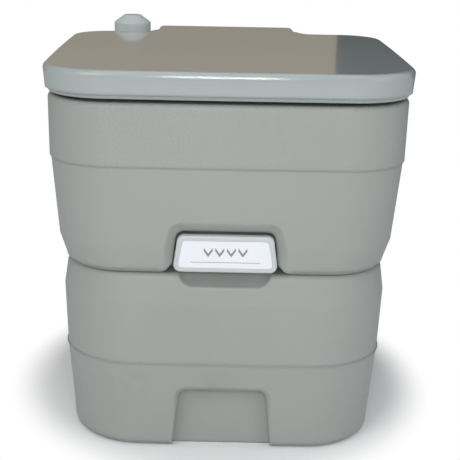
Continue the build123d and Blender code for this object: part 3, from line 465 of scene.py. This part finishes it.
def chevron(centre_x):
    """One chevron pointing down."""
    half = chevron_width / 2
    high = chevron_centre_z + chevron_height / 2
    low = chevron_centre_z - chevron_height / 2
    return [
        (centre_x - half, high),
        (centre_x - half, high - chevron_stroke),
        (centre_x, low),
        (centre_x + half, high - chevron_stroke),
        (centre_x + half, high),
        (centre_x, low + chevron_stroke),
    ]


def face_outline():
    """Outline of the label's face: sides leaning in with the handle's, and round corners."""
    low = label_low.z - face_rise
    high = label_high.z + face_rise
    lean = (handle_half_low - handle_half_high) / (handle_high.z - handle_low.z)
    half_low = label_high.x + lean * face_rise
    half_high = half_low - lean * (high - low)
    points = []
    corners = (
        (half_low - face_corner, low + face_corner, -90),
        (half_high - face_corner, high - face_corner, 0),
        (-half_high + face_corner, high - face_corner, 90),
        (-half_low + face_corner, low + face_corner, 180),
    )
    for x, z, start in corners:
        for step in range(corner_steps + 1):
            turn = math.radians(start + 90 / corner_steps * step)
            points.append((x + face_corner * math.cos(turn), z + face_corner * math.sin(turn)))
    return points


face_front = label_low.y - face_depth
flat_piece("label_face", [face_outline()], face_front, face_depth, looks["label_white"])
first_chevron = -(chevron_count - 1) / 2
chevrons = [
    chevron((first_chevron + place) * chevron_pitch) for place in range(chevron_count)
]
flat_piece("label_chevrons", chevrons, face_front - print_depth, 2 * print_depth, mark_look)
line = [
    (-line_half_width, line_z),
    (line_half_width, line_z),
    (line_half_width, line_z + line_thickness),
    (-line_half_width, line_z + line_thickness),
]
flat_piece("label_line", [line], face_front - print_depth, 2 * print_depth, mark_look)


# Floor, light and camera

def floor_look():
    """Pale floor that takes the contact shadow and fades to plain white further out."""
    material, tree, output, spot = blank("floor_pale")
    body = make(tree, "ShaderNodeBsdfDiffuse", {"Color": floor_colour + (1.0,)})
    white = make(tree, "ShaderNodeEmission", {"Strength": 1.0})
    share_of_floor = (1 / floor_half_x, 1 / floor_half_y, 1.0)
    footprint = make(tree, "ShaderNodeMapping", {"Scale": share_of_floor})
    wire(tree, spot, "Object", footprint, "Vector")
    away = make(tree, "ShaderNodeVectorMath", operation="LENGTH")
    wire(tree, footprint, "Vector", away, 0)
    faded = spread(tree, away, "Value", 0.0, 1.0, floor_fade_start, floor_fade_end)
    faded.interpolation_type = "SMOOTHSTEP"
    rays = make(tree, "ShaderNodeLightPath")
    seen = times(tree, faded, "Result", rays, "Is Camera Ray")
    mix = make(tree, "ShaderNodeMixShader")
    wire(tree, seen, 0, mix, 0)
    wire(tree, body, "BSDF", mix, 1)
    wire(tree, white, "Emission", mix, 2)
    wire(tree, mix, "Shader", output, "Surface")
    return material


def floor():
    """Large flat floor under the object."""
    bpy.ops.mesh.primitive_plane_add(size=floor_size)
    made = bpy.context.object
    made.name = "floor"
    made.data.materials.append(floor_look())


def lamp(name, place, target, size, power, tint=(1.0, 1.0, 1.0)):
    """Soft rectangular lamp aimed at a point."""
    light = bpy.data.lights.new(name, "AREA")
    light.shape = "RECTANGLE"
    light.size = size[0]
    light.size_y = size[1]
    light.energy = power
    light.color = tint
    made = bpy.data.objects.new(name, light)
    made.location = place
    made.rotation_euler = (Vector(target) - Vector(place)).to_track_quat("-Z", "Y").to_euler()
    bpy.context.scene.collection.objects.link(made)
    return made


def wall_card(name, x_range, colour):
    """Upright card behind the object that the camera sees only mirrored in the lid."""
    width = x_range[1] - x_range[0]
    middle = (x_range[0] + x_range[1]) / 2
    bpy.ops.mesh.primitive_plane_add(
        size=1.0, location=(middle, wall_y, wall_height / 2), rotation=(math.pi / 2, 0.0, 0.0)
    )
    made = bpy.context.object
    made.name = name
    made.scale = (width, wall_height, 1.0)
    made.visible_camera = False
    made.visible_shadow = False
    material, tree, output, _ = blank(name)
    glow = make(tree, "ShaderNodeEmission", {"Color": colour + (1.0,), "Strength": 1.0})
    wire(tree, glow, "Emission", output, "Surface")
    made.data.materials.append(material)


def room():
    """Even pale surroundings, seen as plain white by the camera."""
    world = bpy.data.worlds.new("room")
    bpy.context.scene.world = world
    world.use_nodes = True
    tree = world.node_tree
    tree.nodes.clear()
    output = make(tree, "ShaderNodeOutputWorld")
    rays = make(tree, "ShaderNodeLightPath")
    surroundings = {"Color": room_colour + (1.0,), "Strength": room_level}
    around = make(tree, "ShaderNodeBackground", surroundings)
    plain = {"Color": (1.0, 1.0, 1.0, 1.0), "Strength": 1.0}
    white = make(tree, "ShaderNodeBackground", plain)
    mix = make(tree, "ShaderNodeMixShader")
    wire(tree, rays, "Is Camera Ray", mix, 0)
    wire(tree, around, "Background", mix, 1)
    wire(tree, white, "Background", mix, 2)
    wire(tree, mix, "Shader", output, "Surface")


def camera():
    """Camera at the photograph's place, with its slightly off-centre picture."""
    pitch, yaw, roll = (math.radians(angle) for angle in (camera_pitch, camera_yaw, camera_roll))
    flat = math.cos(pitch)
    ahead = Vector((math.sin(yaw) * flat, math.cos(yaw) * flat, -math.sin(pitch)))
    level = Vector((math.cos(yaw), -math.sin(yaw), 0.0))
    above = level.cross(ahead)
    right = level * math.cos(roll) + above * math.sin(roll)
    upward = above * math.cos(roll) - level * math.sin(roll)
    lens = bpy.data.cameras.new("camera")
    lens.sensor_width = sensor_width
    lens.lens = focal_pixels / picture_size * sensor_width
    lens.shift_x = 0.5 - centre_pixel_x / picture_size
    lens.shift_y = centre_pixel_y / picture_size - 0.5
    lens.clip_start = 0.05
    made = bpy.data.objects.new("camera", lens)
    turn = Matrix((right, upward, -ahead)).transposed().to_4x4()
    made.matrix_world = Matrix.Translation(camera_place) @ turn
    bpy.context.scene.collection.objects.link(made)
    bpy.context.scene.camera = made


floor()
room()
wall_card("warm_wall", (wall_outer_left, wall_split), warm_wall_colour)
wall_card("dark_wall", (wall_split, wall_outer_right), dark_wall_colour)
lamp("key", (-0.9, -1.5, 1.5), (0.0, -0.1, 0.22), (1.2, 0.9), key_power)
lamp("fill", (1.4, -1.2, 0.9), (0.0, 0.0, 0.2), (1.2, 1.2), fill_power)
lamp("front", (0.0, -1.18, 0.62), (0.0, -0.19, 0.31), (0.26, 0.18), front_power)
lamp("top", (0.0, -0.25, 1.6), (0.0, -0.1, 0.39), (0.9, 0.5), top_power)
camera()

bpy.context.scene.view_settings.view_transform = "Standard"
